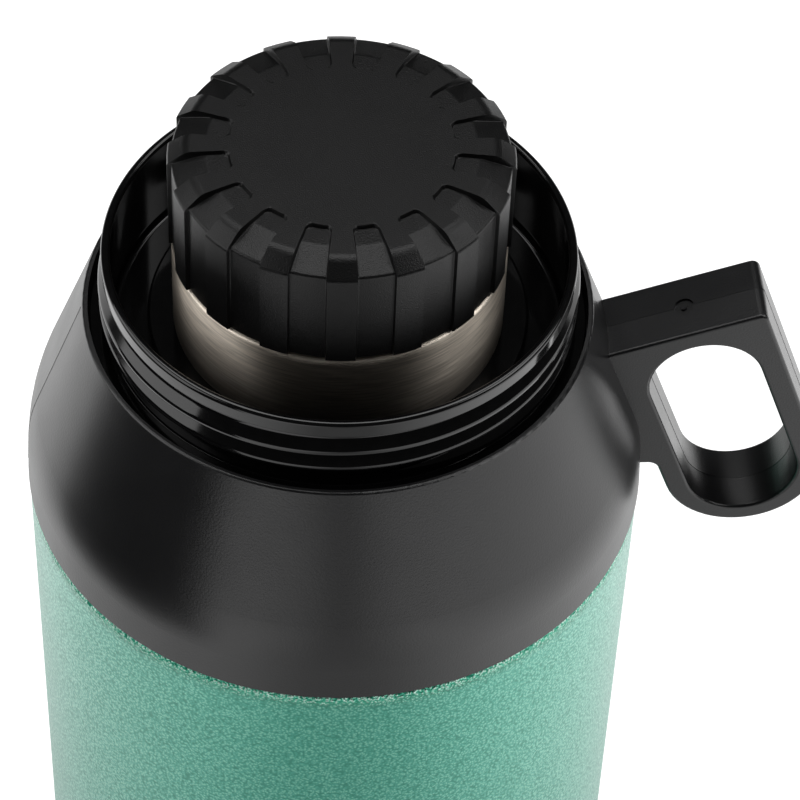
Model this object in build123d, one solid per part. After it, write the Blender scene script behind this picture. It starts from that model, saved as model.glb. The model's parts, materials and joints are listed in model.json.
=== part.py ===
"""A wide vacuum flask: steel body, plastic shoulder with a finger loop, threaded collar and screw stopper.

The flask stands on the plane Z = 0 with its axis on Z, and its handle points along +X.
Sizes are in millimetres. Heights in the upper half are measured from the parting line
between the green body and the black shoulder, and `raised` moves them up to it.
"""

from build123d import *
from math import cos, hypot, radians, sin, tan
import os

os.makedirs("parts", exist_ok=True)

# ---------------------------------------------------------------- driving dimensions

# steel body
BODY_RADIUS = 56.0
BODY_HEIGHT = 185.0  # table to the parting line
SHEET = 0.6  # steel sheet of both shells
VACUUM_GAP = 3.4  # between the shells along the body
BODY_TOP_BEND = 1.6
SKIRT_GAP = 0.3  # open line between the body's rounded top and the skirt
HEEL_BEND = 3.0
HEEL_INNER_RADIUS = 49.5
BASE_RECESS = 2.4
DIMPLE_HEIGHT = 4.0
SEAL_HOLE_RADIUS = 1.0
COVER_RADIUS = 12.0
COVER_THICKNESS = 0.6
VESSEL_BOTTOM = 10.0
VESSEL_BOTTOM_BEND = 12.0
VESSEL_SEAM = 26.0  # height of the weld between vessel and bottom
FOIL_THICKNESS = 0.3
GETTER_RADIUS = 8.0
GETTER_THICKNESS = 2.6

# shoulder moulding
SKIRT_RADIUS = 56.2
SKIRT_HEIGHT = 11.85
CONE_ANGLE = 20.0  # from the vertical; the handle leans by the same angle
CONE_TOP_RADIUS = 44.74
CONE_TOP = 41.5
SHOULDER_BEND = 33.0
SHOULDER_WALL = 2.2
GLUE_GAP = 0.4
RIM_WIDTH = 0.85
LEDGE_TOP = 36.8
LEDGE_THICKNESS = 2.2
LEDGE_BORE = 41.5
WASHER_BORE = 34.0
WASHER_RADIUS = 39.0

# steel neck and the flat steel top under the collar
NECK_RADIUS = 29.0
NECK_GAP = 0.8
RIM_TOP = 57.1
HEM_HEIGHT = 0.8
DOME_TOP = 33.5
DOME_BEND = 4.0
INNER_DOME_TOP = 30.0
DOME_GAP = 3.2  # between the two domes, square to the cone

# collar for the screw-on cup
COLLAR_BORE = 39.6
COLLAR_ROOT = 40.4
COLLAR_BAND = 41.2
COLLAR_CREST = 41.9
COLLAR_TOP = 54.8
BAND_HEIGHT = 2.9
COLLAR_FLOOR = 36.6
COLLAR_FLOOR_THICKNESS = 2.1
FLANGE_TOP = 38.8
FLANGE_RADIUS = 43.7
CUP_THREAD_PITCH = 3.9
CUP_THREAD_TURNS = 2.45
CUP_THREAD_START = 40.6  # height of the first ridge where it begins
CUP_THREAD_START_ANGLE = -88.0
RING_RADIUS = 33.5
RING_HEIGHT = 2.7

# stopper knob
KNOB_RADIUS = 29.4
KNOB_TOP = 79.0
KNOB_BOTTOM = 57.4
KNOB_FLAT_RADIUS = 26.1
KNOB_EDGE = 76.5
RIB_COUNT = 16
KNOB_TURN = -2.5  # where the ribs stop when the stopper is tight
POCKET_ANGLE = 12.7
POCKET_START = 19.0
POCKET_FLOOR = 78.3
POCKET_FLAT_RADIUS = 22.9
POCKET_EDGE = 76.65
POCKET_DEPTH = 0.7  # on the side of the knob
POCKET_CORNER = 1.2
KNOB_WALL = 2.2

# stopper plug and its thread
PLUG_RADIUS = 25.2
PLUG_BOTTOM = 28.0
PLUG_WALL = 2.0
FLANGE_THICKNESS = 2.2
STOPPER_LEAD = 8.0
STOPPER_STARTS = 2
STOPPER_TURNS = 0.8
NECK_THREAD_START = 36.5
THREAD_OFFSET = 2.35  # plug ridges above the neck ridges under them
THREAD_HEIGHT = 1.1
GASKET_LOW = 52.7
GASKET_HIGH = 56.7
GASKET_RADIUS = 26.7
GASKET_DEPTH = 1.0  # of its groove in the plug
RUNNING_GAP = 0.1

# handle in its leaning frame: x runs outward and up, y runs inward and up
HANDLE_THICKNESS = 14.0
HANDLE_DRAFT = 1.0
HANDLE_TOP = 14.2
LOOP_X = 70.35
LOOP_Y = -25.1
LOOP_RADIUS = 14.5
HOLE_X = 70.15
HOLE_RADIUS = 10.05
HOLE_BOTTOM = -35.8
HOLE_LENGTH = 46.0
WEB_BOTTOM = 2.6  # height of the notch between loop and skirt
EDGE_ROUNDING = 0.6
SEAM_HEIGHT = 0.05  # mould parting line round the handle and down the far side
SEAM_WIDTH = 0.25
GATE_RADIUS = 1.8


# ---------------------------------------------------------------- helpers


def outline(corners):
    """A closed face through corners given as (x, y) or (x, y, bend radius)."""
    points = [corner[:2] for corner in corners]
    bends = [corner[2] if len(corner) > 2 else 0.0 for corner in corners]
    return make_face(FilletPolyline(*points, radius=bends, close=True))


def turned(corners):
    """A solid of revolution about Z from (radius, height) corners."""
    return revolve(Plane.XZ * outline(corners), Axis.Z)


def raised(corners):
    """The same corners, moved up from the parting line to the table's origin."""
    return [(corner[0], corner[1] + BODY_HEIGHT, *corner[2:]) for corner in corners]


def shifted(corners, distance):
    """An open line of corners moved to its left, with its bends kept concentric."""
    moved = []
    for index, corner in enumerate(corners):
        neighbours = corners[max(index - 1, 0) : index + 2]
        headings = []
        for start, end in zip(neighbours, neighbours[1:]):
            length = hypot(end[0] - start[0], end[1] - start[1])
            headings.append(((end[0] - start[0]) / length, (end[1] - start[1]) / length))
        first = headings[0]
        last = headings[-1]
        scale = distance / (1.0 + first[0] * last[0] + first[1] * last[1])
        if len(headings) == 1:
            scale = distance / 2.0
        bend = corner[2] if len(corner) > 2 else 0.0
        if bend:
            turn = first[0] * last[1] - first[1] * last[0]
            bend += -distance if turn > 0 else distance
        x = corner[0] - scale * (first[1] + last[1])
        y = corner[1] + scale * (first[0] + last[0])
        moved.append((x, y, bend))
    return moved


def sheet(corners):
    """A shell of revolution: the line is its outside, and the steel lies to its left."""
    return turned(list(corners) + shifted(corners, SHEET)[::-1])


def disc(radius, low, high, bore=0.0):
    """A flat disc or ring between two heights."""
    return turned([(bore, low), (radius, low), (radius, high), (bore, high)])


def ridge(root, crest, lead, turns, root_width, crest_width):
    """A right-hand thread ridge of trapezoid section, from +X at height 0 upwards."""
    section = [
        (root, -root_width / 2),
        (crest, -crest_width / 2),
        (crest, crest_width / 2),
        (root, root_width / 2),
    ]
    edges = []
    for radius, height in section:
        helix = Helix(pitch=lead, height=lead * turns, radius=radius, center=(0, 0, height))
        edges.append(helix.edge())
    faces = []
    for edge, following in zip(edges, edges[1:] + edges[:1]):
        faces.append(Face.make_surface_from_curves(edge, following))
    for end in (0, 1):
        corners = Polyline(*[edge @ end for edge in edges], close=True)
        faces.append(Face(Wire(corners.edges())))
    return Solid(Shell(faces))


def save(name, shape):
    """Write one node; its solid carries the same name."""
    shape.label = name
    export_step(shape, f"parts/{name}.step")


# ---------------------------------------------------------------- shoulder lines

corner_radius = CONE_TOP_RADIUS + (CONE_TOP - SKIRT_HEIGHT) * tan(radians(CONE_ANGLE))
skirt_slope = (SKIRT_RADIUS - corner_radius) / SKIRT_HEIGHT


def cone_radius(height, inset=0.0):
    """Radius of the cone, or of a line inside it, at a height."""
    angle = radians(CONE_ANGLE)
    return CONE_TOP_RADIUS + (CONE_TOP - height) * tan(angle) - inset / cos(angle)


def skirt_radius(height, inset=0.0):
    """Radius of the skirt, or of a line inside it, at a height."""
    return SKIRT_RADIUS - skirt_slope * height - inset * hypot(1.0, skirt_slope)


def shoulder_line(inset, low, high):
    """The shoulder's outside from a low to a high height, moved inwards."""
    outside = [
        (SKIRT_RADIUS, 0.0),
        (corner_radius, SKIRT_HEIGHT, SHOULDER_BEND),
        (CONE_TOP_RADIUS, CONE_TOP),
    ]
    bend = shifted(outside, inset)[1]
    return [(skirt_radius(low, inset), low), bend, (cone_radius(high, inset), high)]


# ---------------------------------------------------------------- steel shells

dome_inset = SHOULDER_WALL + GLUE_GAP
dome_bottom = 1.5
weld_gap = 0.05
liner_radius = NECK_RADIUS - SHEET - NECK_GAP
vessel_radius = BODY_RADIUS - SHEET - VACUUM_GAP
hem_bottom = RIM_TOP - HEM_HEIGHT


def make_casing_body():
    """Green tube: rolled heel, rounded top and the spigot that the dome is welded to."""
    spigot = skirt_radius(dome_bottom, dome_inset)
    top = BODY_HEIGHT - SKIRT_GAP
    return sheet(
        [
            (HEEL_INNER_RADIUS, 0.0),
            (BODY_RADIUS, 0.0, HEEL_BEND),
            (BODY_RADIUS, top, BODY_TOP_BEND),
            (spigot, top, 0.4),
            (spigot, BODY_HEIGHT + dome_bottom - weld_gap),
        ]
    )


def make_casing_dome():
    """Steel dome under the plastic shoulder, drawn up into the brushed neck."""
    line = shoulder_line(dome_inset, dome_bottom, DOME_TOP)
    line[-1] = (*line[-1], DOME_BEND)
    line += [(NECK_RADIUS, DOME_TOP, 1.0), (NECK_RADIUS, hem_bottom)]
    return sheet(raised(line))


def make_casing_base():
    """Recessed base plate with a central dimple and its evacuation hole."""
    dimple_radius = 6.0
    rim_radius = 46.5
    return sheet(
        [
            (SEAL_HOLE_RADIUS, DIMPLE_HEIGHT),
            (dimple_radius, DIMPLE_HEIGHT, 0.8),
            (dimple_radius + 1.4, BASE_RECESS, 0.8),
            (rim_radius, BASE_RECESS, 0.8),
            (rim_radius + 1.4, SHEET, 0.8),
            (52.6, SHEET),
        ]
    )


def make_vacuum_seal():
    """Brazed bead that closes the evacuation hole, with a head on each side of the sheet."""
    low = DIMPLE_HEIGHT
    high = DIMPLE_HEIGHT + SHEET
    return turned(
        [
            (0.0, low - 0.8),
            (1.6, low - 0.8, 0.6),
            (2.4, low),
            (SEAL_HOLE_RADIUS, low),
            (SEAL_HOLE_RADIUS, high),
            (1.8, high),
            (1.2, high + 0.6, 0.5),
            (0.0, high + 0.6),
        ]
    )


def make_seal_cover():
    """Painted disc glued over the dimple, flush with the base plate's underside."""
    return disc(COVER_RADIUS, BASE_RECESS - COVER_THICKNESS, BASE_RECESS)


def make_inner_vessel():
    """Inner tube with its shoulder, neck liner, hemmed rim and internal thread."""
    inset = dome_inset + SHEET + DOME_GAP
    meeting_height = CONE_TOP - (vessel_radius - cone_radius(CONE_TOP, inset)) / tan(radians(CONE_ANGLE))
    line = raised(
        [
            (vessel_radius, VESSEL_SEAM - BODY_HEIGHT),
            (vessel_radius, meeting_height, SHOULDER_BEND - inset),
            (cone_radius(INNER_DOME_TOP, inset), INNER_DOME_TOP, DOME_BEND),
            (liner_radius, INNER_DOME_TOP, 1.0),
            (liner_radius, hem_bottom),
        ]
    )
    bore = liner_radius - SHEET
    hem = raised(
        [
            (bore, hem_bottom),
            (NECK_RADIUS, hem_bottom),
            (NECK_RADIUS, RIM_TOP, 0.5),
            (bore, RIM_TOP, 0.5),
        ]
    )
    vessel = sheet(line) + turned(hem)
    for start in range(STOPPER_STARTS):
        angle = 360.0 * start / STOPPER_STARTS
        wound = ridge(bore + 0.3, bore - THREAD_HEIGHT, STOPPER_LEAD, STOPPER_TURNS, 2.0, 0.8)
        vessel += Pos(0, 0, BODY_HEIGHT + NECK_THREAD_START) * Rot(0, 0, angle) * wound
    return vessel


def make_vessel_bottom():
    """Dished bottom welded to the inner tube."""
    return sheet(
        [
            (0.0, VESSEL_BOTTOM),
            (vessel_radius, VESSEL_BOTTOM, VESSEL_BOTTOM_BEND),
            (vessel_radius, VESSEL_SEAM),
        ]
    )


def make_reflective_foil():
    """Foil sleeve wound round the vessel inside the vacuum."""
    bore = vessel_radius + 0.2
    return disc(bore + FOIL_THICKNESS, VESSEL_SEAM + 2.0, BODY_HEIGHT - 4.0, bore=bore)


def make_getter_holder():
    """Small cup welded under the vessel, open downwards, that holds the getter."""
    wall = 0.4
    bore = GETTER_RADIUS + 0.2
    floor = VESSEL_BOTTOM - wall
    rim = floor - GETTER_THICKNESS - 0.2
    return turned(
        [
            (0.0, floor),
            (bore, floor),
            (bore, rim),
            (bore + wall, rim),
            (bore + wall, VESSEL_BOTTOM),
            (0.0, VESSEL_BOTTOM),
        ]
    )


def make_getter_tablet():
    """Getter that soaks up stray gas, held against the floor of its cup."""
    floor = VESSEL_BOTTOM - 0.4
    return disc(GETTER_RADIUS, floor - GETTER_THICKNESS, floor)


# ---------------------------------------------------------------- plastic shoulder and handle


def handle_face():
    """Side view of the handle: a leaning strip round a finger hole, with a web to the shoulder."""
    lean = radians(CONE_ANGLE)
    left = LOOP_X - LOOP_RADIUS
    right = LOOP_X + LOOP_RADIUS
    notch = (WEB_BOTTOM - left * sin(lean)) / cos(lean)
    inside = 50.0  # radius of the web's hidden end, inside the shoulder
    web_end = (
        inside * cos(lean) + WEB_BOTTOM * sin(lean),
        WEB_BOTTOM * cos(lean) - inside * sin(lean),
    )
    strip = outline(
        [
            (44.0, HANDLE_TOP),
            web_end,
            (left, notch, 2.2),
            (left, LOOP_Y),
            (right, LOOP_Y),
            (right, HANDLE_TOP, 1.6),
        ]
    )
    end = Pos(LOOP_X, LOOP_Y) * Circle(LOOP_RADIUS)
    hole_middle = HOLE_BOTTOM + HOLE_LENGTH / 2
    hole = Pos(HOLE_X, hole_middle) * Rot(0, 0, 90) * SlotOverall(HOLE_LENGTH, 2 * HOLE_RADIUS)
    return strip + end - hole


def make_handle():
    """Both halves of the handle, drafted away from the fine parting ridge between them."""
    lean = radians(CONE_ANGLE)
    leaning = Plane(origin=(0, 0, BODY_HEIGHT), x_dir=(cos(lean), 0, sin(lean)), z_dir=(0, -1, 0))
    half = extrude(leaning * handle_face(), amount=HANDLE_THICKNESS / 2, taper=HANDLE_DRAFT)
    side = half.faces().sort_by(Axis.Y)[0]
    half = fillet(side.edges(), EDGE_ROUNDING)
    seam = extrude(leaning * offset(handle_face(), SEAM_HEIGHT), amount=SEAM_WIDTH / 2, both=True)
    handle = half + mirror(half, about=Plane.XZ) + seam
    gate = Pos(LOOP_X, HANDLE_TOP - 0.5, 0) * Rot(-90, 0, 0)
    dimple = Cylinder(GATE_RADIUS, 2.0, align=(Align.CENTER, Align.CENTER, Align.MIN))
    nib = Cylinder(0.6, 0.35, align=(Align.CENTER, Align.CENTER, Align.MIN))
    handle -= leaning.location * gate * dimple
    return handle + leaning.location * gate * nib


def make_parting_ridge():
    """Hairline of the mould down the shoulder, on the side away from the handle."""
    crest = shoulder_line(-SEAM_HEIGHT, 0.5, CONE_TOP - 1.0)
    root = shoulder_line(SHOULDER_WALL / 2, 0.5, CONE_TOP - 1.0)
    section = Plane.XZ * outline(raised(crest + root[::-1]))
    return Rot(0, 0, 180) * extrude(section, amount=SEAM_WIDTH / 2, both=True)


def make_shoulder_housing():
    """Plastic shoulder and handle in one moulding."""
    outside = shoulder_line(0.0, 0.0, CONE_TOP)
    outside[-1] = (*outside[-1], 0.5)
    rim_bore = CONE_TOP_RADIUS - RIM_WIDTH
    ledge_bottom = LEDGE_TOP - LEDGE_THICKNESS
    above = CONE_TOP + 3.0
    cavity = [
        (0.0, -1.0),
        *shoulder_line(SHOULDER_WALL, -1.0, ledge_bottom),
        (LEDGE_BORE, ledge_bottom),
        (LEDGE_BORE, LEDGE_TOP),
        (rim_bore, LEDGE_TOP),
        (rim_bore, above),
        (0.0, above),
    ]
    solid = turned(raised([(0.0, 0.0), *outside, (0.0, CONE_TOP)])) + make_handle() + make_parting_ridge()
    return solid - turned(raised(cavity))


# ---------------------------------------------------------------- collar and neck rings

floor_bottom = COLLAR_FLOOR - COLLAR_FLOOR_THICKNESS


def make_collar_washer():
    """Rubber washer between the steel dome and the collar's floor."""
    return disc(
        WASHER_RADIUS,
        BODY_HEIGHT + DOME_TOP,
        BODY_HEIGHT + floor_bottom,
        bore=WASHER_BORE,
    )


def make_retaining_ring():
    """Ring round the neck that holds the collar's floor down."""
    top = COLLAR_FLOOR + RING_HEIGHT
    return turned(
        raised(
            [
                (NECK_RADIUS, COLLAR_FLOOR),
                (RING_RADIUS, COLLAR_FLOOR),
                (RING_RADIUS, top, 0.6),
                (NECK_RADIUS, top),
            ]
        )
    )


def make_cup_thread_collar():
    """Collar for the screw-on cup: floor, clamping flange, thin wall, plain band and thread."""
    band_bottom = COLLAR_TOP - BAND_HEIGHT
    collar = turned(
        raised(
            [
                (NECK_RADIUS + 0.3, floor_bottom),
                (COLLAR_BAND, floor_bottom),
                (COLLAR_BAND, LEDGE_TOP),
                (FLANGE_RADIUS, LEDGE_TOP),
                (FLANGE_RADIUS, FLANGE_TOP, 0.3),
                (COLLAR_ROOT, FLANGE_TOP, 0.4),
                (COLLAR_ROOT, band_bottom - 0.5, 0.3),
                (COLLAR_BAND, band_bottom, 0.3),
                (COLLAR_BAND, COLLAR_TOP, 0.7),
                (COLLAR_BORE, COLLAR_TOP, 0.7),
                (COLLAR_BORE, COLLAR_FLOOR, 1.0),
                (NECK_RADIUS + 0.3, COLLAR_FLOOR),
            ]
        )
    )
    wound = ridge(COLLAR_ROOT - 0.3, COLLAR_CREST, CUP_THREAD_PITCH, CUP_THREAD_TURNS, 2.6, 1.0)
    start = Pos(0, 0, BODY_HEIGHT + CUP_THREAD_START) * Rot(0, 0, CUP_THREAD_START_ANGLE)
    return collar + start * faded(wound)


def faded(wound):
    """The cup thread with both ends planed down to the wall over a dozen degrees."""
    slope = 3.0
    reach = 24.0
    turn = 360.0 * CUP_THREAD_TURNS
    rise = CUP_THREAD_PITCH * CUP_THREAD_TURNS
    plane_off = Box(reach, reach, CUP_THREAD_PITCH, align=(Align.MIN, Align.CENTER, Align.CENTER))
    first = Pos(COLLAR_ROOT, 0, 0) * Rot(0, 0, -slope) * plane_off
    last = Rot(0, 0, turn) * Pos(COLLAR_ROOT, 0, rise) * Rot(0, 0, slope) * plane_off
    return wound - first - last


# ---------------------------------------------------------------- stopper


def make_stopper_cap():
    """Knob with sixteen ribs between shallow pockets that run from the top down the side."""
    knob = turned(
        raised(
            [
                (0.0, KNOB_BOTTOM),
                (KNOB_RADIUS, KNOB_BOTTOM, 0.3),
                (KNOB_RADIUS, KNOB_EDGE, 0.5),
                (KNOB_FLAT_RADIUS, KNOB_TOP, 1.5),
                (0.0, KNOB_TOP),
            ]
        )
    )
    beyond = KNOB_RADIUS + 2.0
    pocket_side = KNOB_RADIUS - POCKET_DEPTH
    pocket_profile = raised(
        [
            (POCKET_START, POCKET_FLOOR),
            (POCKET_FLAT_RADIUS, POCKET_FLOOR, 1.5),
            (pocket_side, POCKET_EDGE, 0.6),
            (pocket_side, KNOB_BOTTOM - 1.0),
            (beyond, KNOB_BOTTOM - 1.0),
            (beyond, KNOB_TOP + 1.0),
            (POCKET_START, KNOB_TOP + 1.0),
        ]
    )
    pocket = revolve(Plane.XZ * outline(pocket_profile), Axis.Z, revolution_arc=POCKET_ANGLE)
    upright = pocket.edges().filter_by(Axis.Z)
    innermost = upright.group_by(lambda edge: hypot(edge.center().X, edge.center().Y))[0]
    pocket = fillet(innermost, POCKET_CORNER)
    pitch = 360.0 / RIB_COUNT
    for rib in range(RIB_COUNT):
        knob -= Rot(0, 0, KNOB_TURN + (rib + 0.5) * pitch - POCKET_ANGLE / 2) * pocket
    hollow = KNOB_RADIUS - POCKET_DEPTH - KNOB_WALL
    return knob - disc(hollow, BODY_HEIGHT + KNOB_BOTTOM - 1.0, BODY_HEIGHT + POCKET_FLOOR - KNOB_WALL)


def make_stopper_core():
    """Plug under the knob: flange, gasket groove, two-start thread and an open lower end."""
    bore = PLUG_RADIUS - PLUG_WALL
    groove = PLUG_RADIUS - GASKET_DEPTH
    flange = KNOB_RADIUS - POCKET_DEPTH - KNOB_WALL
    core = turned(
        raised(
            [
                (bore, PLUG_BOTTOM + 1.0),
                (PLUG_RADIUS, PLUG_BOTTOM + 1.0),
                (PLUG_RADIUS, GASKET_LOW),
                (groove, GASKET_LOW),
                (groove, GASKET_HIGH),
                (PLUG_RADIUS, GASKET_HIGH),
                (PLUG_RADIUS, KNOB_BOTTOM),
                (flange, KNOB_BOTTOM),
                (flange, KNOB_BOTTOM + FLANGE_THICKNESS),
                (PLUG_RADIUS, KNOB_BOTTOM + FLANGE_THICKNESS),
                (PLUG_RADIUS, KNOB_BOTTOM + 8.0),
                (bore, KNOB_BOTTOM + 8.0),
            ]
        )
    )
    for start in range(STOPPER_STARTS):
        angle = 360.0 * start / STOPPER_STARTS
        wound = ridge(PLUG_RADIUS - 0.3, PLUG_RADIUS + THREAD_HEIGHT, STOPPER_LEAD, STOPPER_TURNS, 2.0, 0.8)
        height = BODY_HEIGHT + NECK_THREAD_START + THREAD_OFFSET
        core += Pos(0, 0, height) * Rot(0, 0, angle) * wound
    return core


def make_stopper_foam():
    """Foam fill between the end disc and the top of the plug."""
    radius = PLUG_RADIUS - PLUG_WALL - RUNNING_GAP
    return disc(radius, BODY_HEIGHT + PLUG_BOTTOM + 3.0, BODY_HEIGHT + KNOB_BOTTOM + 8.0)


def make_stopper_end_disc():
    """Disc welded into the plug's lower end, with a rounded edge."""
    bore = PLUG_RADIUS - PLUG_WALL
    return turned(
        raised(
            [
                (0.0, PLUG_BOTTOM),
                (PLUG_RADIUS, PLUG_BOTTOM, 0.8),
                (PLUG_RADIUS, PLUG_BOTTOM + 1.0),
                (bore, PLUG_BOTTOM + 1.0),
                (bore, PLUG_BOTTOM + 3.0),
                (0.0, PLUG_BOTTOM + 3.0),
            ]
        )
    )


def make_stopper_gasket():
    """Silicone ring with two lips, free to stay still while the plug turns in it."""
    bore = PLUG_RADIUS - GASKET_DEPTH + RUNNING_GAP
    low = GASKET_LOW + RUNNING_GAP
    high = GASKET_HIGH - RUNNING_GAP
    waist = GASKET_RADIUS - 0.7
    lip = 1.2
    return turned(
        raised(
            [
                (bore, low),
                (GASKET_RADIUS, low, 0.3),
                (GASKET_RADIUS, low + lip, 0.3),
                (waist, low + lip + 0.3, 0.2),
                (waist, high - lip - 0.3, 0.2),
                (GASKET_RADIUS, high - lip, 0.3),
                (GASKET_RADIUS, high, 0.3),
                (bore, high),
            ]
        )
    )


# ---------------------------------------------------------------- nodes

save("casing_body", make_casing_body())
save("casing_dome", make_casing_dome())
save("casing_base", make_casing_base())
save("vacuum_seal", make_vacuum_seal())
save("seal_cover", make_seal_cover())
save("inner_vessel", make_inner_vessel())
save("vessel_bottom", make_vessel_bottom())
save("reflective_foil", make_reflective_foil())
save("getter_holder", make_getter_holder())
save("getter_tablet", make_getter_tablet())
save("shoulder_housing", make_shoulder_housing())
save("cup_thread_collar", make_cup_thread_collar())
save("collar_washer", make_collar_washer())
save("retaining_ring", make_retaining_ring())
save("stopper_cap", make_stopper_cap())
save("stopper_core", make_stopper_core())
save("stopper_foam", make_stopper_foam())
save("stopper_end_disc", make_stopper_end_disc())
save("stopper_gasket", make_stopper_gasket())
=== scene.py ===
"""Looks of a wide vacuum flask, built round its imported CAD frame.

Outlines, bends and grains are in millimetres, with heights measured up from the parting
line between the green body and the black shoulder. Meshes, lights and the camera are in
metres. The green body, the steel neck and vessel, the collar, its ring and the knob get finer
meshes here, and every other piece shows its CAD mesh.
"""

import json
import math

import bmesh
import bpy
from mathutils import Matrix, Vector


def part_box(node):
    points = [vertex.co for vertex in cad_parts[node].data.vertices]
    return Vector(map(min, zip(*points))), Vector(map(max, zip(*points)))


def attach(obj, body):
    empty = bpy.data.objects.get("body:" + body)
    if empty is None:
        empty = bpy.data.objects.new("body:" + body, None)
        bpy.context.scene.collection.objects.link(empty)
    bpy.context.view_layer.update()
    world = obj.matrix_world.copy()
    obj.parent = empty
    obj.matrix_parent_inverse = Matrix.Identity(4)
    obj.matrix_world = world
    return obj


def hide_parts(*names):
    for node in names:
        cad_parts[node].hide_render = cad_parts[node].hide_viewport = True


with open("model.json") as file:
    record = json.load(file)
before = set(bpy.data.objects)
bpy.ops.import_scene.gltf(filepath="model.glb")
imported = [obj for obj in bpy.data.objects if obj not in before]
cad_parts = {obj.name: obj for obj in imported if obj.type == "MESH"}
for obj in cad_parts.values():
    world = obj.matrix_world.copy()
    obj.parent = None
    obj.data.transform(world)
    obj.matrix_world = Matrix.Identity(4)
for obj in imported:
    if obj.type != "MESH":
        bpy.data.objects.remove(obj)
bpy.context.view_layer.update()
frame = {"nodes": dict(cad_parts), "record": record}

# ---------------------------------------------------------------- dimensions

MM = 0.001
ROUND_STEPS = 384

# shoulder cone and steel shells under it
SKIRT_RADIUS = 56.2
SKIRT_HEIGHT = 11.85
CONE_ANGLE = math.radians(20.0)
CONE_TOP_RADIUS = 44.74
CONE_TOP = 41.5
SHOULDER_BEND = 33.0
SHEET = 0.6
DOME_INSET = 2.6
DOME_BOTTOM = 1.5
DOME_TOP = 33.5
DOME_BEND = 4.0
DOME_GAP = 3.2

# steel body, neck and vessel
BODY_RADIUS = 56.0
BODY_TOP = -0.3
BODY_TOP_BEND = 1.6
HEEL_INNER_RADIUS = 49.5
HEEL_BEND = 3.0
WELD_GAP = 0.05
NECK_RADIUS = 29.0
NECK_BEND = 1.0
RIM_TOP = 57.1
HEM_BOTTOM = 56.3
HEM_BEND = 0.5
LINER_RADIUS = 27.6
VESSEL_RADIUS = 52.0
VESSEL_SEAM = 26.0  # above the table
INNER_DOME_TOP = 30.0
NECK_THREAD_START = 36.5
THREAD_HEIGHT = 1.1
THREAD_ROOT_DEPTH = 0.3
THREAD_ROOT_HALF = 1.0
THREAD_CREST_HALF = 0.4
STOPPER_LEAD = 8.0
STOPPER_TURNS = 0.8
STOPPER_STARTS = 2

# collar for the screw-on cup
COLLAR_BORE = 39.6
COLLAR_CLEARANCE = 0.3
COLLAR_ROOT = 40.4
COLLAR_BAND = 41.2
COLLAR_CREST = 41.9
COLLAR_TOP = 54.8
BAND_BOTTOM = 51.9
COLLAR_FLOOR = 36.6
COLLAR_UNDERSIDE = 34.5
LEDGE_TOP = 36.8
FLANGE_TOP = 38.8
FLANGE_RADIUS = 43.7
CUP_THREAD_PITCH = 3.9
CUP_THREAD_TURNS = 2.45
CUP_THREAD_START = 40.6
CUP_THREAD_START_ANGLE = math.radians(-88.0)
CUP_CREST_HALF = 0.4
CUP_FLANK_ABOVE = 2.0
CUP_FLANK_BELOW = 0.7
CUP_EDGE_EASE = 0.12  # share of the ridge's height
CUP_FADE_TURNS = 0.11
RING_RADIUS = 33.5
RING_HEIGHT = 2.7

# stopper knob
KNOB_TOP = 79.0
KNOB_BOTTOM = 57.4
KNOB_RADIUS = 29.4
KNOB_FLAT_RADIUS = 26.1
KNOB_EDGE = 76.5
RIB_COUNT = 16
KNOB_TURN = math.radians(-2.5)
POCKET_HALF_ANGLE = math.radians(6.35)
POCKET_START = 19.0
POCKET_FLOOR = 78.3
POCKET_FLAT_RADIUS = 22.9
POCKET_EDGE = 76.65
POCKET_SIDE = 28.7
POCKET_CORNER = 1.2
KNOB_HOLLOW = 26.5
HOLLOW_TOP = 76.1

# places read from the frame: the parting line in metres, the others in millimetres
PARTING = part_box("stopper_cap")[1].z - KNOB_TOP * MM
TABLE = -PARTING / MM
SPIGOT_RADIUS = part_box("casing_dome")[1].x / MM

# ---------------------------------------------------------------- outlines and meshes


def shifted(corners, distance):
    """An open line of (radius, height, bend) corners moved to its left, its bends kept concentric."""
    moved = []
    for index, corner in enumerate(corners):
        neighbours = [Vector(near[:2]) for near in corners[max(index - 1, 0) : index + 2]]
        headings = [(end - start).normalized() for start, end in zip(neighbours, neighbours[1:])]
        first = headings[0]
        last = headings[-1]
        step = (first + last) * distance / (1.0 + first.dot(last))
        bend = corner[2] if len(corner) > 2 else 0.0
        if bend:
            turn = first.x * last.y - first.y * last.x
            bend += -distance if turn > 0 else distance
        moved.append((corner[0] - step.y, corner[1] + step.x, bend))
    return moved


def rounded(corners, closed=True, arc_steps=6):
    """Points through (radius, height, bend) corners, each bend drawn as an arc of equal steps."""
    line = []
    for index, corner in enumerate(corners):
        point = Vector(corner[:2])
        bend = corner[2] if len(corner) > 2 else 0.0
        at_end = not closed and index in (0, len(corners) - 1)
        if not bend or at_end:
            line.append(point)
            continue
        back = (Vector(corners[index - 1][:2]) - point).normalized()
        ahead = (Vector(corners[(index + 1) % len(corners)][:2]) - point).normalized()
        half = back.angle(ahead) / 2.0
        centre = point + (back + ahead).normalized() * (bend / math.sin(half))
        first = point + back * (bend / math.tan(half)) - centre
        sweep = math.pi - 2.0 * half
        if back.x * ahead.y - back.y * ahead.x > 0.0:
            sweep = -sweep
        for step in range(arc_steps + 1):
            angle = sweep * step / arc_steps
            line.append(
                centre
                + Vector(
                    (
                        first.x * math.cos(angle) - first.y * math.sin(angle),
                        first.x * math.sin(angle) + first.y * math.cos(angle),
                    )
                )
            )
    return line


def even_angles(count):
    """A full turn of equal steps."""
    return [2.0 * math.pi * index / count for index in range(count)]


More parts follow.
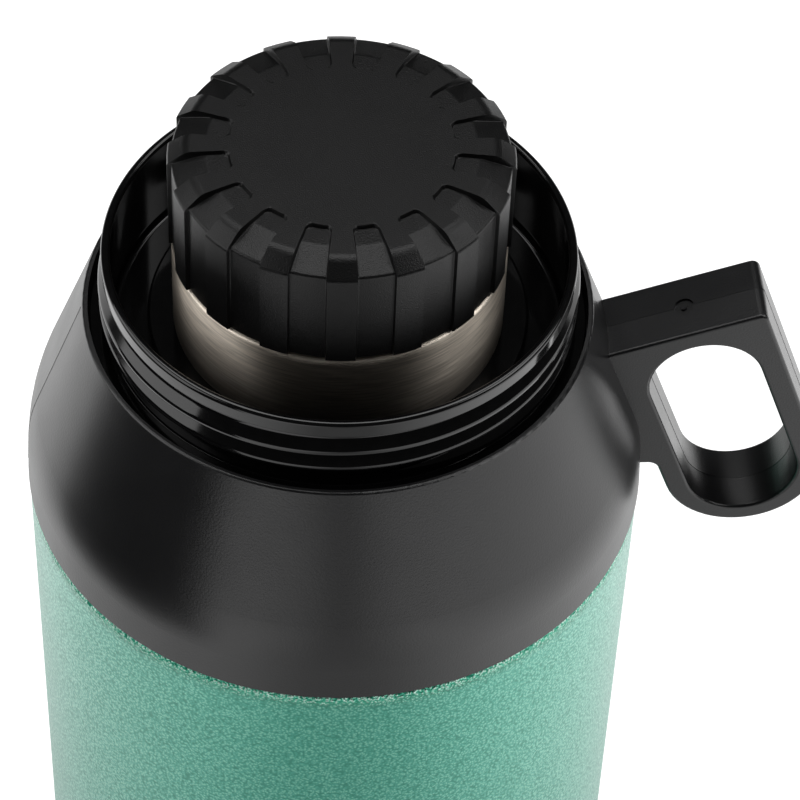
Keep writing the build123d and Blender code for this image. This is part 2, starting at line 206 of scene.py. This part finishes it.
def lathe(name, line, angles=even_angles(ROUND_STEPS), shape=None):
    """A closed line of (radius, height) points turned about the axis; shape moves each point."""
    made = bmesh.new()
    rings = []
    for row, (radius, height) in enumerate(line):
        if radius < 1e-6:
            pole = made.verts.new((0.0, 0.0, height * MM + PARTING))
            rings.append([pole] * len(angles))
            continue
        ring = []
        for angle in angles:
            at_radius, at_height = shape(row, angle, radius, height) if shape else (radius, height)
            ring.append(
                made.verts.new(
                    (
                        at_radius * math.cos(angle) * MM,
                        at_radius * math.sin(angle) * MM,
                        at_height * MM + PARTING,
                    )
                )
            )
        rings.append(ring)
    for ring, following in zip(rings, rings[1:] + rings[:1]):
        for index in range(len(angles)):
            after = (index + 1) % len(angles)
            corners = dict.fromkeys((ring[index], ring[after], following[after], following[index]))
            if len(corners) > 2:
                made.faces.new(corners)
    return finished(name, made)


def finished(name, made, sharp_angle=50.0):
    """A mesh object from a bmesh: normals outwards, smooth but for its sharp edges."""
    bmesh.ops.recalc_face_normals(made, faces=made.faces)
    mesh = bpy.data.meshes.new(name)
    made.to_mesh(mesh)
    made.free()
    mesh.shade_smooth()
    mesh.set_sharp_from_angle(angle=math.radians(sharp_angle))
    piece = bpy.data.objects.new(name, mesh)
    bpy.context.scene.collection.objects.link(piece)
    weighted = piece.modifiers.new("weighted_normals", "WEIGHTED_NORMAL")
    weighted.keep_sharp = True
    return piece


def sheet_line(corners):
    """The closed outline of a steel sheet: the corners are its outside, the steel lies to its left."""
    return rounded(list(corners) + shifted(corners, SHEET)[::-1])


def clamp(value):
    return min(max(value, 0.0), 1.0)


def smooth(value):
    """0 below 0, 1 above 1, and an S-curve between."""
    held = clamp(value)
    return held * held * (3.0 - 2.0 * held)


def eased(value, reach):
    """0 below 0, 1 above 1, straight between, with both ends eased."""
    return (clamp(value - reach) + clamp(value) + clamp(value + reach)) / 3.0


# ---------------------------------------------------------------- steel shells


def cone_radius(height, inset):
    """Radius of the shoulder's cone, or of one moved inwards by the inset, at a height."""
    return CONE_TOP_RADIUS + (CONE_TOP - height) * math.tan(CONE_ANGLE) - inset / math.cos(CONE_ANGLE)


def shoulder_corner(inset):
    """The corner between skirt and cone, with its bend, moved inwards by the inset."""
    outside = [
        (SKIRT_RADIUS, 0.0),
        (cone_radius(SKIRT_HEIGHT, 0.0), SKIRT_HEIGHT, SHOULDER_BEND),
        (CONE_TOP_RADIUS, CONE_TOP),
    ]
    return shifted(outside, inset)[1]


def make_body():
    """Green tube: rolled heel, rounded top and the spigot under the skirt."""
    return lathe(
        "green_body",
        sheet_line(
            [
                (HEEL_INNER_RADIUS, TABLE),
                (BODY_RADIUS, TABLE, HEEL_BEND),
                (BODY_RADIUS, BODY_TOP, BODY_TOP_BEND),
                (SPIGOT_RADIUS, BODY_TOP, 0.4),
                (SPIGOT_RADIUS, DOME_BOTTOM - WELD_GAP),
            ]
        ),
    )


def make_dome():
    """Steel dome drawn up into the neck."""
    return lathe(
        "steel_neck",
        sheet_line(
            [
                (SPIGOT_RADIUS, DOME_BOTTOM),
                shoulder_corner(DOME_INSET),
                (cone_radius(DOME_TOP, DOME_INSET), DOME_TOP, DOME_BEND),
                (NECK_RADIUS, DOME_TOP, NECK_BEND),
                (NECK_RADIUS, HEM_BOTTOM),
            ]
        ),
    )


def add_ridge(made, root, crest, start_height, start_angle, steps=96):
    """One ridge of the neck's thread, of trapezoid section and closed at both ends."""
    section = [
        (root, -THREAD_ROOT_HALF),
        (crest, -THREAD_CREST_HALF),
        (crest, THREAD_CREST_HALF),
        (root, THREAD_ROOT_HALF),
    ]
    rows = []
    for step in range(steps + 1):
        turn = STOPPER_TURNS * step / steps
        angle = start_angle + 2.0 * math.pi * turn
        rows.append(
            [
                made.verts.new(
                    (
                        radius * math.cos(angle) * MM,
                        radius * math.sin(angle) * MM,
                        (start_height + STOPPER_LEAD * turn + height) * MM + PARTING,
                    )
                )
                for radius, height in section
            ]
        )
    for row, following in zip(rows, rows[1:]):
        for index in range(len(section)):
            after = (index + 1) % len(section)
            made.faces.new((row[index], row[after], following[after], following[index]))
    made.faces.new(rows[0])
    made.faces.new(rows[-1])


def make_vessel():
    """Inner tube with its shoulder, neck liner, hemmed rim and internal thread."""
    inset = DOME_INSET + SHEET + DOME_GAP
    meeting = CONE_TOP - (VESSEL_RADIUS - cone_radius(CONE_TOP, inset)) / math.tan(CONE_ANGLE)
    outside = [
        (VESSEL_RADIUS, VESSEL_SEAM + TABLE),
        (VESSEL_RADIUS, meeting, SHOULDER_BEND - inset),
        (cone_radius(INNER_DOME_TOP, inset), INNER_DOME_TOP, DOME_BEND),
        (LINER_RADIUS, INNER_DOME_TOP, NECK_BEND),
        (LINER_RADIUS, HEM_BOTTOM),
    ]
    bore = LINER_RADIUS - SHEET
    hem = [(NECK_RADIUS, HEM_BOTTOM), (NECK_RADIUS, RIM_TOP, HEM_BEND), (bore, RIM_TOP, HEM_BEND)]
    inside = shifted(outside, SHEET)[-2::-1]
    piece = lathe("inner_tube", rounded(outside + hem + inside))
    threads = bmesh.new()
    for start in range(STOPPER_STARTS):
        turned = 2.0 * math.pi * start / STOPPER_STARTS
        add_ridge(threads, bore + THREAD_ROOT_DEPTH, bore - THREAD_HEIGHT, NECK_THREAD_START, turned)
    thread = finished("neck_thread", threads, sharp_angle=30.0)
    return piece, thread


# ---------------------------------------------------------------- collar and ring


def cup_thread_height(angle, height):
    """How far the cup thread stands out of the collar's wall: a long flank above, a short one below."""
    fraction = ((angle - CUP_THREAD_START_ANGLE) / (2.0 * math.pi)) % 1.0
    tallest = 0.0
    for turn in range(math.ceil(CUP_THREAD_TURNS)):
        along = fraction + turn
        if along > CUP_THREAD_TURNS:
            continue
        offset = height - CUP_THREAD_START - CUP_THREAD_PITCH * along
        flank = CUP_FLANK_ABOVE if offset > 0.0 else CUP_FLANK_BELOW
        rise = eased(1.0 - (abs(offset) - CUP_CREST_HALF) / flank, CUP_EDGE_EASE)
        rise -= 1.0 - smooth(min(along, CUP_THREAD_TURNS - along) / CUP_FADE_TURNS)
        tallest = max(tallest, rise)
    return tallest * (COLLAR_CREST - COLLAR_ROOT)


def make_collar():
    """Collar with the cup thread raised out of its wall."""
    row_height = 0.1
    small_bend = 0.3
    lip_bend = 0.7
    floor_bend = 1.0
    wall_foot = 0.2
    wall_low = FLANGE_TOP + 2.0 * wall_foot
    wall_high = BAND_BOTTOM - 0.7
    bore = NECK_RADIUS + COLLAR_CLEARANCE
    rows = round((wall_high - wall_low) / row_height)
    wall = [(COLLAR_ROOT, wall_low + (wall_high - wall_low) * row / rows) for row in range(rows + 1)]
    line = rounded(
        [
            (bore, COLLAR_UNDERSIDE),
            (COLLAR_BAND, COLLAR_UNDERSIDE),
            (COLLAR_BAND, LEDGE_TOP),
            (FLANGE_RADIUS, LEDGE_TOP),
            (FLANGE_RADIUS, FLANGE_TOP, small_bend),
            (COLLAR_ROOT + wall_foot, FLANGE_TOP, small_bend / 2),
            *wall,
            (COLLAR_BAND, BAND_BOTTOM, small_bend),
            (COLLAR_BAND, COLLAR_TOP, lip_bend),
            (COLLAR_BORE, COLLAR_TOP, lip_bend),
            (COLLAR_BORE, COLLAR_FLOOR, floor_bend),
            (bore, COLLAR_FLOOR),
        ]
    )

    def shape(row, angle, radius, height):
        on_wall = abs(radius - COLLAR_ROOT) < 0.01 and height > FLANGE_TOP
        return (radius + cup_thread_height(angle, height) if on_wall else radius, height)

    return lathe("threaded_collar", line, shape=shape)


def make_ring():
    """Ring round the neck that holds the collar's floor down."""
    top = COLLAR_FLOOR + RING_HEIGHT
    return lathe(
        "neck_ring",
        rounded(
            [
                (NECK_RADIUS, COLLAR_FLOOR),
                (RING_RADIUS, COLLAR_FLOOR),
                (RING_RADIUS, top, 0.6),
                (NECK_RADIUS, top),
            ]
        ),
    )


# ---------------------------------------------------------------- knob


def knob_line(flat_radius, top, side, edge, top_bend, edge_bend):
    """Half the knob's outline, from its axis over the top, down the side and up its hollow."""
    steps = 7
    reach = POCKET_CORNER * 1.25
    inner = [(POCKET_START + reach * step / steps, top) for step in range(steps + 1)]
    return rounded(
        [
            (0.0, KNOB_TOP),
            (POCKET_START - 3.0, KNOB_TOP),
            (POCKET_START - 0.3, KNOB_TOP),
            *inner,
            (flat_radius, top, top_bend),
            (side, edge, edge_bend),
            (side, KNOB_BOTTOM, 0.3),
            (KNOB_HOLLOW, KNOB_BOTTOM),
            (KNOB_HOLLOW, HOLLOW_TOP),
            (0.0, HOLLOW_TOP),
        ],
        closed=False,
    )


def make_knob():
    """Knob with sixteen ribs between shallow pockets that run from the top down the side."""
    ribs = knob_line(
        KNOB_FLAT_RADIUS, KNOB_TOP, KNOB_RADIUS, KNOB_EDGE, top_bend=3.0, edge_bend=0.9
    )
    pockets = knob_line(
        POCKET_FLAT_RADIUS, POCKET_FLOOR, POCKET_SIDE, POCKET_EDGE, top_bend=2.5, edge_bend=0.6
    )
    pitch = 2.0 * math.pi / RIB_COUNT
    wall_width = 0.16
    steps = 12
    crowding = 1.8  # the steps crowd towards the pocket's side
    inside = [POCKET_HALF_ANGLE * (1.0 - (step / steps) ** crowding) for step in range(steps + 1)]
    outside = [POCKET_HALF_ANGLE + (pitch / 2 - POCKET_HALF_ANGLE) * part for part in (0.02, 0.1, 0.4)]
    half = sorted(inside + outside)
    across = [-angle for angle in reversed(half[1:])] + half + [pitch / 2]
    angles = [
        KNOB_TURN + (rib + 0.5) * pitch + angle for rib in range(RIB_COUNT) for angle in across
    ]

    def inside_pocket(angle, radius):
        """1 inside a pocket, 0 outside, with its inner corners rounded."""
        centred = (angle - KNOB_TURN) % pitch - pitch / 2
        from_side = (POCKET_HALF_ANGLE - abs(centred)) * radius
        from_end = radius - POCKET_START
        depth = min(from_side, from_end)
        if max(from_side, from_end) < POCKET_CORNER or depth < POCKET_CORNER:
            corner = math.hypot(
                max(POCKET_CORNER - from_side, 0.0), max(POCKET_CORNER - from_end, 0.0)
            )
            depth = min(depth, POCKET_CORNER - corner)
        return smooth(depth / wall_width)

    def shape(row, angle, radius, height):
        pocket = pockets[row]
        share = inside_pocket(angle, radius)
        return (radius + (pocket.x - radius) * share, height + (pocket.y - height) * share)

    return lathe("ribbed_knob", ribs, angles=angles, shape=shape)


# ---------------------------------------------------------------- pieces on their bodies


def stand_for(piece, node, body):
    """The piece is shown in place of a CAD node, on its body; it takes the node's material slot further
    down.
    """
    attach(piece, body)
    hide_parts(node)
    return piece


pieces = {}
for maker, node, body in (
    (make_body, "casing_body", "flask"),
    (make_dome, "casing_dome", "flask"),
    (make_collar, "cup_thread_collar", "flask"),
    (make_ring, "retaining_ring", "flask"),
    (make_knob, "stopper_cap", "stopper"),
):
    pieces[node] = stand_for(maker(), node, body)
inner_tube, neck_thread = make_vessel()
pieces["inner_vessel"] = stand_for(inner_tube, "inner_vessel", "flask")
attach(neck_thread, "flask")

# ---------------------------------------------------------------- materials


def add_node(tree, kind, inputs=None, **settings):
    """A node with its settings, its inputs linked to sockets or set to values."""
    made = tree.nodes.new(kind)
    for name, value in settings.items():
        setattr(made, name, value)
    for name, value in (inputs or {}).items():
        if isinstance(value, bpy.types.NodeSocket):
            tree.links.new(value, made.inputs[name])
        else:
            made.inputs[name].default_value = value
    return made


def new_material(name, **uniform):
    """A material with one principled shader, and its uniform values set on it."""
    made = bpy.data.materials.new(name)
    made.use_nodes = True
    shader = made.node_tree.nodes["Principled BSDF"]
    for socket, value in uniform.items():
        shader.inputs[socket.replace("_", " ")].default_value = value
    return made, made.node_tree, shader


def stretched(tree, scale=(1.0, 1.0, 1.0)):
    """Object coordinates in metres, scaled along each axis."""
    where = add_node(tree, "ShaderNodeTexCoord").outputs["Object"]
    return add_node(tree, "ShaderNodeMapping", {"Vector": where, "Scale": scale}).outputs["Vector"]


def grains(tree, size, detail=2.0, scale=(1.0, 1.0, 1.0)):
    """Noise whose grains are about a size in millimetres."""
    where = stretched(tree, scale)
    noise = add_node(
        tree,
        "ShaderNodeTexNoise",
        {"Vector": where, "Scale": 1.0 / (size * MM), "Detail": detail, "Roughness": 0.5},
    )
    return noise.outputs["Fac"]


def ramp(tree, factor, stops):
    """A colour ramp from (place, colour) stops."""
    made = add_node(tree, "ShaderNodeValToRGB", {"Fac": factor})
    elements = made.color_ramp.elements
    while len(elements) < len(stops):
        elements.new(0.5)
    for element, (place, color) in zip(elements, stops):
        element.position = place
        element.color = (*color, 1.0)
    return made.outputs["Color"]


def spread(tree, factor, low, high):
    """A factor from 0 to 1 stretched to a range."""
    return add_node(
        tree, "ShaderNodeMapRange", {"Value": factor, "To Min": low, "To Max": high}
    ).outputs["Result"]


def link(tree, output, shader, socket):
    """An output joined to one of the shader's sockets by its name."""
    tree.links.new(output, shader.inputs[socket])


def bump(tree, shader, height, depth, sockets=("Normal",)):
    """A bump on the shader: the height runs from 0 to 1 over a depth in millimetres."""
    made = add_node(tree, "ShaderNodeBump", {"Height": height, "Strength": 1.0, "Distance": depth * MM})
    for socket in sockets:
        link(tree, made.outputs["Normal"], shader, socket)


def mixed(tree, factor, first, second, blend_type="MIX"):
    """Two colours mixed by a factor."""
    return add_node(
        tree,
        "ShaderNodeMixRGB",
        {"Fac": factor, "Color1": first, "Color2": second},
        blend_type=blend_type,
    ).outputs["Color"]


def product(tree, first, second):
    """Two factors multiplied."""
    return add_node(tree, "ShaderNodeMath", {0: first, 1: second}, operation="MULTIPLY").outputs[0]


def fleck_cells(tree):
    """Distance from the middle of the nearest fleck, in cells whose edges wander."""
    fleck_scale = 1900.0  # flecks in a metre
    wander_scale = 900.0
    wander_reach = 0.0007  # in metres
    where = stretched(tree)
    wander = add_node(
        tree, "ShaderNodeTexNoise", {"Vector": where, "Scale": wander_scale, "Detail": 1.0}
    ).outputs["Color"]
    return add_node(
        tree,
        "ShaderNodeTexVoronoi",
        {
            "Vector": mixed(tree, wander_reach, where, wander, "ADD"),
            "Scale": fleck_scale,
            "Smoothness": 0.35,
        },
        feature="SMOOTH_F1",
    ).outputs["Distance"]


def by_height(tree, low, high, low_value=0.0, high_value=1.0, interpolation="LINEAR"):
    """A value that changes from one height over the parting line to another, and is held beyond."""
    up = add_node(tree, "ShaderNodeSeparateXYZ", {0: stretched(tree)}).outputs["Z"]
    return add_node(
        tree,
        "ShaderNodeMapRange",
        {
            "Value": up,
            "From Min": PARTING + low * MM,
            "From Max": PARTING + high * MM,
            "To Min": low_value,
            "To Max": high_value,
        },
        interpolation_type=interpolation,
    ).outputs["Result"]


def hammertone():
    """Green hammertone paint: pale flecks on a darker network, gathered in a bead at its top edge,
    where painted shade, glints and a highlight are added.
    """
    made, tree, shader = new_material(
        "green_coat", Metallic=0.5, Coat_Weight=0.6, Coat_Roughness=0.2
    )
    cells = fleck_cells(tree)
    plain_color = ramp(
        tree,
        cells,
        [
            (0.0, (0.26, 0.70, 0.54)),
            (0.28, (0.16, 0.58, 0.43)),
            (0.5, (0.05, 0.42, 0.30)),
            (0.8, (0.02, 0.31, 0.21)),
        ],
    )
    # painted shade and glints under the skirt: a deeper, darker green, partly paint gathered in the
    # bead and partly painted shade, with near-white flecks as painted glints
    bead_shade_and_glints_color = ramp(
        tree,
        cells,
        [
            (0.0, (0.9, 1.0, 0.95)),
            (0.2, (0.25, 0.7, 0.5)),
            (0.4, (0.01, 0.36, 0.21)),
            (0.8, (0.0, 0.22, 0.13)),
        ],
    )
    # painted highlight: a bright pale green line on the rounded top edge under the skirt
    painted_highlight_color = ramp(
        tree,
        cells,
        [
            (0.0, (0.8, 1.0, 0.93)),
            (0.35, (0.55, 0.95, 0.78)),
            (0.55, (0.06, 0.6, 0.38)),
            (0.8, (0.0, 0.35, 0.21)),
        ],
    )
    # bead: the band under the skirt that takes the painted shade and glints, and a stronger bump
    bead = by_height(tree, -4.5, -0.5, interpolation="SMOOTHSTEP")
    # edge: the top of the bead, which takes the painted highlight
    edge = by_height(tree, -2.4, -1.2)
    coat_color = mixed(tree, edge, mixed(tree, bead, plain_color, bead_shade_and_glints_color), painted_highlight_color)
    link(tree, coat_color, shader, "Base Color")
    link(tree, spread(tree, cells, 0.28, 0.5), shader, "Roughness")
    flat = add_node(tree, "ShaderNodeMath", {0: 1.0, 1: cells}, operation="SUBTRACT").outputs[0]
    height = product(tree, flat, spread(tree, bead, 0.45, 3.0))
    bump(tree, shader, height, 0.1, sockets=("Normal", "Coat Normal"))
    return made


def scaled(color, share):
    """A colour made darker or lighter."""
    return tuple(channel * share for channel in color)


def moulded(name, color, roughness, grain, depth, scatter=0.15, specular=0.5):
    """Moulded plastic or rubber: a fine grain in its surface, colour and gloss."""
    made, tree, shader = new_material(name, Specular_IOR_Level=specular)
    fine = grains(tree, grain, detail=0.0)
    broad = grains(tree, 9.0, detail=3.0)
    darker = scaled(color, 1.0 - scatter)
    lighter = scaled(color, 1.0 + scatter)
    link(tree, ramp(tree, fine, [(0.3, darker), (0.7, lighter)]), shader, "Base Color")
    link(tree, spread(tree, broad, roughness - 0.04, roughness + 0.04), shader, "Roughness")
    bump(tree, shader, fine, depth)
    return made


def brushed(name, color, roughness, line_depth, anisotropy, painted_shade_low=1.0, painted_highlight_rim=1.0):
    """Steel brushed round the axis, its colour darkened towards the collar's floor and lightened
    towards the neck's rim: painted shade and a painted highlight.
    """
    made, tree, shader = new_material(
        name, Metallic=1.0, Anisotropic=anisotropy, Anisotropic_Rotation=0.25
    )
    lines = grains(tree, 0.35, detail=4.0, scale=(0.05, 0.05, 1.1))
    lined = ramp(tree, lines, [(0.36, scaled(color, 0.7)), (0.62, color)])
    # painted reflection and shade: darker low down for the black collar that the neck mirrors there,
    # and a painted highlight brighter towards the rim
    ring_top = COLLAR_FLOOR + RING_HEIGHT
    painted_light_share = by_height(tree, ring_top + 1.0, HEM_BOTTOM - 1.0, painted_shade_low, painted_highlight_rim)
    link(tree, mixed(tree, 1.0, lined, painted_light_share, "MULTIPLY"), shader, "Base Color")
    link(tree, spread(tree, lines, roughness - 0.06, roughness + 0.06), shader, "Roughness")
    bump(tree, shader, lines, line_depth)
    around = add_node(tree, "ShaderNodeTangent", direction_type="RADIAL", axis="Z")
    link(tree, around.outputs["Tangent"], shader, "Tangent")
    return made


looks = {
    "green_coat": hammertone(),
    # the brushed steel gets painted shade low on the neck and a painted highlight at its rim
    "brushed_steel": brushed(
        "brushed_steel", (0.77, 0.69, 0.59), 0.41, 0.015, 0.97, painted_shade_low=0.25, painted_highlight_rim=1.3
    ),
    "bare_steel": brushed("bare_steel", (0.6, 0.58, 0.56), 0.4, 0.004, 0.3),
    "satin_black": moulded(
        "satin_black", (0.005, 0.005, 0.0056), 0.32, 0.35, 0.017, specular=0.56
    ),
    "gloss_black": moulded("gloss_black", (0.003, 0.003, 0.0032), 0.10, 1.5, 0.002),
    "knob_black": moulded(
        "knob_black", (0.003, 0.003, 0.0031), 0.37, 0.2, 0.04, scatter=0.3, specular=0.32
    ),
    "plug_grey": moulded("plug_grey", (0.06, 0.06, 0.063), 0.42, 0.3, 0.006),
    "silicone": moulded("silicone", (0.42, 0.42, 0.41), 0.45, 0.4, 0.004),
    "dark_rubber": moulded("dark_rubber", (0.03, 0.03, 0.03), 0.62, 0.3, 0.01),
    "foam": moulded("foam", (0.78, 0.66, 0.42), 0.85, 0.6, 0.06),
    "foil": brushed("foil", (0.75, 0.75, 0.76), 0.22, 0.01, 0.0),
    "braze": brushed("braze", (0.55, 0.45, 0.3), 0.35, 0.01, 0.0),
}
for subpart in frame["record"]["subparts"]:
    piece = pieces.get(subpart["node"], frame["nodes"][subpart["node"]])
    piece.data.materials.clear()
    piece.data.materials.append(looks[subpart["material_slot"]])
neck_thread.data.materials.append(looks["brushed_steel"])

# ---------------------------------------------------------------- stage, lights and camera

FLOOR_HALF = 3.0
FLOOR_ALBEDO = 0.4
NEAR_FLOOR = 0.05  # distance to either side; the floor's glow grows from here
FAR_FLOOR = 0.22
NEAR_GLOW = 0.32
FAR_GLOW = 1.25
BACKDROP_GLOW = 0.03
LIGHT_DISTANCE = 1.2
LIGHT_TARGET = Vector((0.0, 0.0, 0.22))


def white_to_camera(tree, glow):
    """A strength of 1 where the camera looks straight at the surface, and a glow to other rays."""
    seen = add_node(tree, "ShaderNodeLightPath").outputs["Is Camera Ray"]
    return add_node(
        tree, "ShaderNodeMapRange", {"Value": seen, "To Min": glow, "To Max": 1.0}
    ).outputs["Result"]


floor_mesh = bpy.data.meshes.new("floor")
floor_mesh.from_pydata(
    [(x * FLOOR_HALF, y * FLOOR_HALF, 0.0) for x, y in ((-1, -1), (1, -1), (1, 1), (-1, 1))],
    [],
    [(0, 1, 2, 3)],
)
floor = bpy.data.objects.new("floor", floor_mesh)
bpy.context.scene.collection.objects.link(floor)
floor_look, floor_tree, floor_shader = new_material("floor", Roughness=0.9)
floor_shader.inputs["Base Color"].default_value = (FLOOR_ALBEDO, FLOOR_ALBEDO, FLOOR_ALBEDO, 1.0)
floor_shader.inputs["Emission Color"].default_value = (1.0, 1.0, 1.0, 1.0)
across = add_node(floor_tree, "ShaderNodeSeparateXYZ", {0: stretched(floor_tree)}).outputs["X"]
aside = add_node(floor_tree, "ShaderNodeMath", {0: across}, operation="ABSOLUTE").outputs[0]
floor_glow = add_node(
    floor_tree,
    "ShaderNodeMapRange",
    {
        "Value": aside,
        "From Min": NEAR_FLOOR,
        "From Max": FAR_FLOOR,
        "To Min": NEAR_GLOW,
        "To Max": FAR_GLOW,
    },
).outputs["Result"]
link(floor_tree, white_to_camera(floor_tree, floor_glow), floor_shader, "Emission Strength")
floor_mesh.materials.append(floor_look)


def add_light(name, azimuth, elevation, width, height, radiance):
    """A softbox: a rectangle that faces the target from one distance, unseen by the camera."""
    lamp = bpy.data.lights.new(name, "AREA")
    lamp.shape = "RECTANGLE"
    lamp.size = width
    lamp.size_y = height
    lamp.energy = radiance * math.pi * width * height
    made = bpy.data.objects.new(name, lamp)
    bpy.context.scene.collection.objects.link(made)
    azimuth = math.radians(azimuth)
    elevation = math.radians(elevation)
    out = Vector(
        (
            math.cos(elevation) * math.sin(azimuth),
            -math.cos(elevation) * math.cos(azimuth),
            math.sin(elevation),
        )
    )
    made.location = LIGHT_TARGET + out * LIGHT_DISTANCE
    made.rotation_euler = out.to_track_quat("Z", "Y").to_euler()
    made.visible_camera = False


# azimuth 0 is the front, where the camera is, and 90 the handle's side; then elevation,
# width, height and radiance
add_light("top_softbox", 180, 73, 1.1, 0.65, 3.0)
add_light("right_softbox", 88, 43, 0.8, 0.6, 3.0)
add_light("left_softbox", -88, 26, 1.1, 1.05, 2.0)


def add_flag(name, azimuth, distance, width, height):
    """A black card standing on the floor, unseen by the camera, that shows as a dark reflection."""
    mesh = bpy.data.meshes.new(name)
    half = width / 2.0
    mesh.from_pydata(
        [(-half, 0.0, 0.0), (half, 0.0, 0.0), (half, 0.0, height), (-half, 0.0, height)],
        [],
        [(0, 1, 2, 3)],
    )
    made = bpy.data.objects.new(name, mesh)
    bpy.context.scene.collection.objects.link(made)
    azimuth = math.radians(azimuth)
    made.location = (distance * math.sin(azimuth), -distance * math.cos(azimuth), 0.001)
    made.rotation_euler = (0.0, 0.0, azimuth)
    look, _, shader = new_material(name, Roughness=1.0)
    shader.inputs["Base Color"].default_value = (0.004, 0.004, 0.004, 1.0)
    mesh.materials.append(look)
    made.visible_camera = False


add_flag("left_flag", -72, 0.26, 0.3, 0.24)

world = bpy.data.worlds.new("studio")
world.use_nodes = True
backdrop = world.node_tree.nodes["Background"]
backdrop.inputs["Color"].default_value = (1.0, 1.0, 1.0, 1.0)
link(world.node_tree, white_to_camera(world.node_tree, BACKDROP_GLOW), backdrop, "Strength")
scene = bpy.context.scene
scene.world = world
scene.view_settings.view_transform = "Standard"

# the handle points 3.6 degrees behind the camera's right
HANDLE_TURN = math.radians(3.636)
CAMERA_PLACE = (0.0, -0.41496, 0.485685)  # from the axis at the parting line
CAMERA_ELEVATION = math.radians(48.6106)
CAMERA_SWING = math.radians(-1.0564)
CAMERA_ROLL = math.radians(1.4042)
camera_data = bpy.data.cameras.new("camera")
camera_data.lens = 156.0
camera_data.sensor_width = 36.0
camera = bpy.data.objects.new("camera", camera_data)
scene.collection.objects.link(camera)
camera.matrix_world = (
    Matrix.Translation((0.0, 0.0, PARTING))
    @ Matrix.Rotation(-HANDLE_TURN, 4, "Z")
    @ Matrix.Translation(CAMERA_PLACE)
    @ Matrix.Rotation(math.pi / 2 - CAMERA_ELEVATION, 4, "X")
    @ Matrix.Rotation(CAMERA_SWING, 4, "Y")
    @ Matrix.Rotation(CAMERA_ROLL, 4, "Z")
)
scene.camera = camera
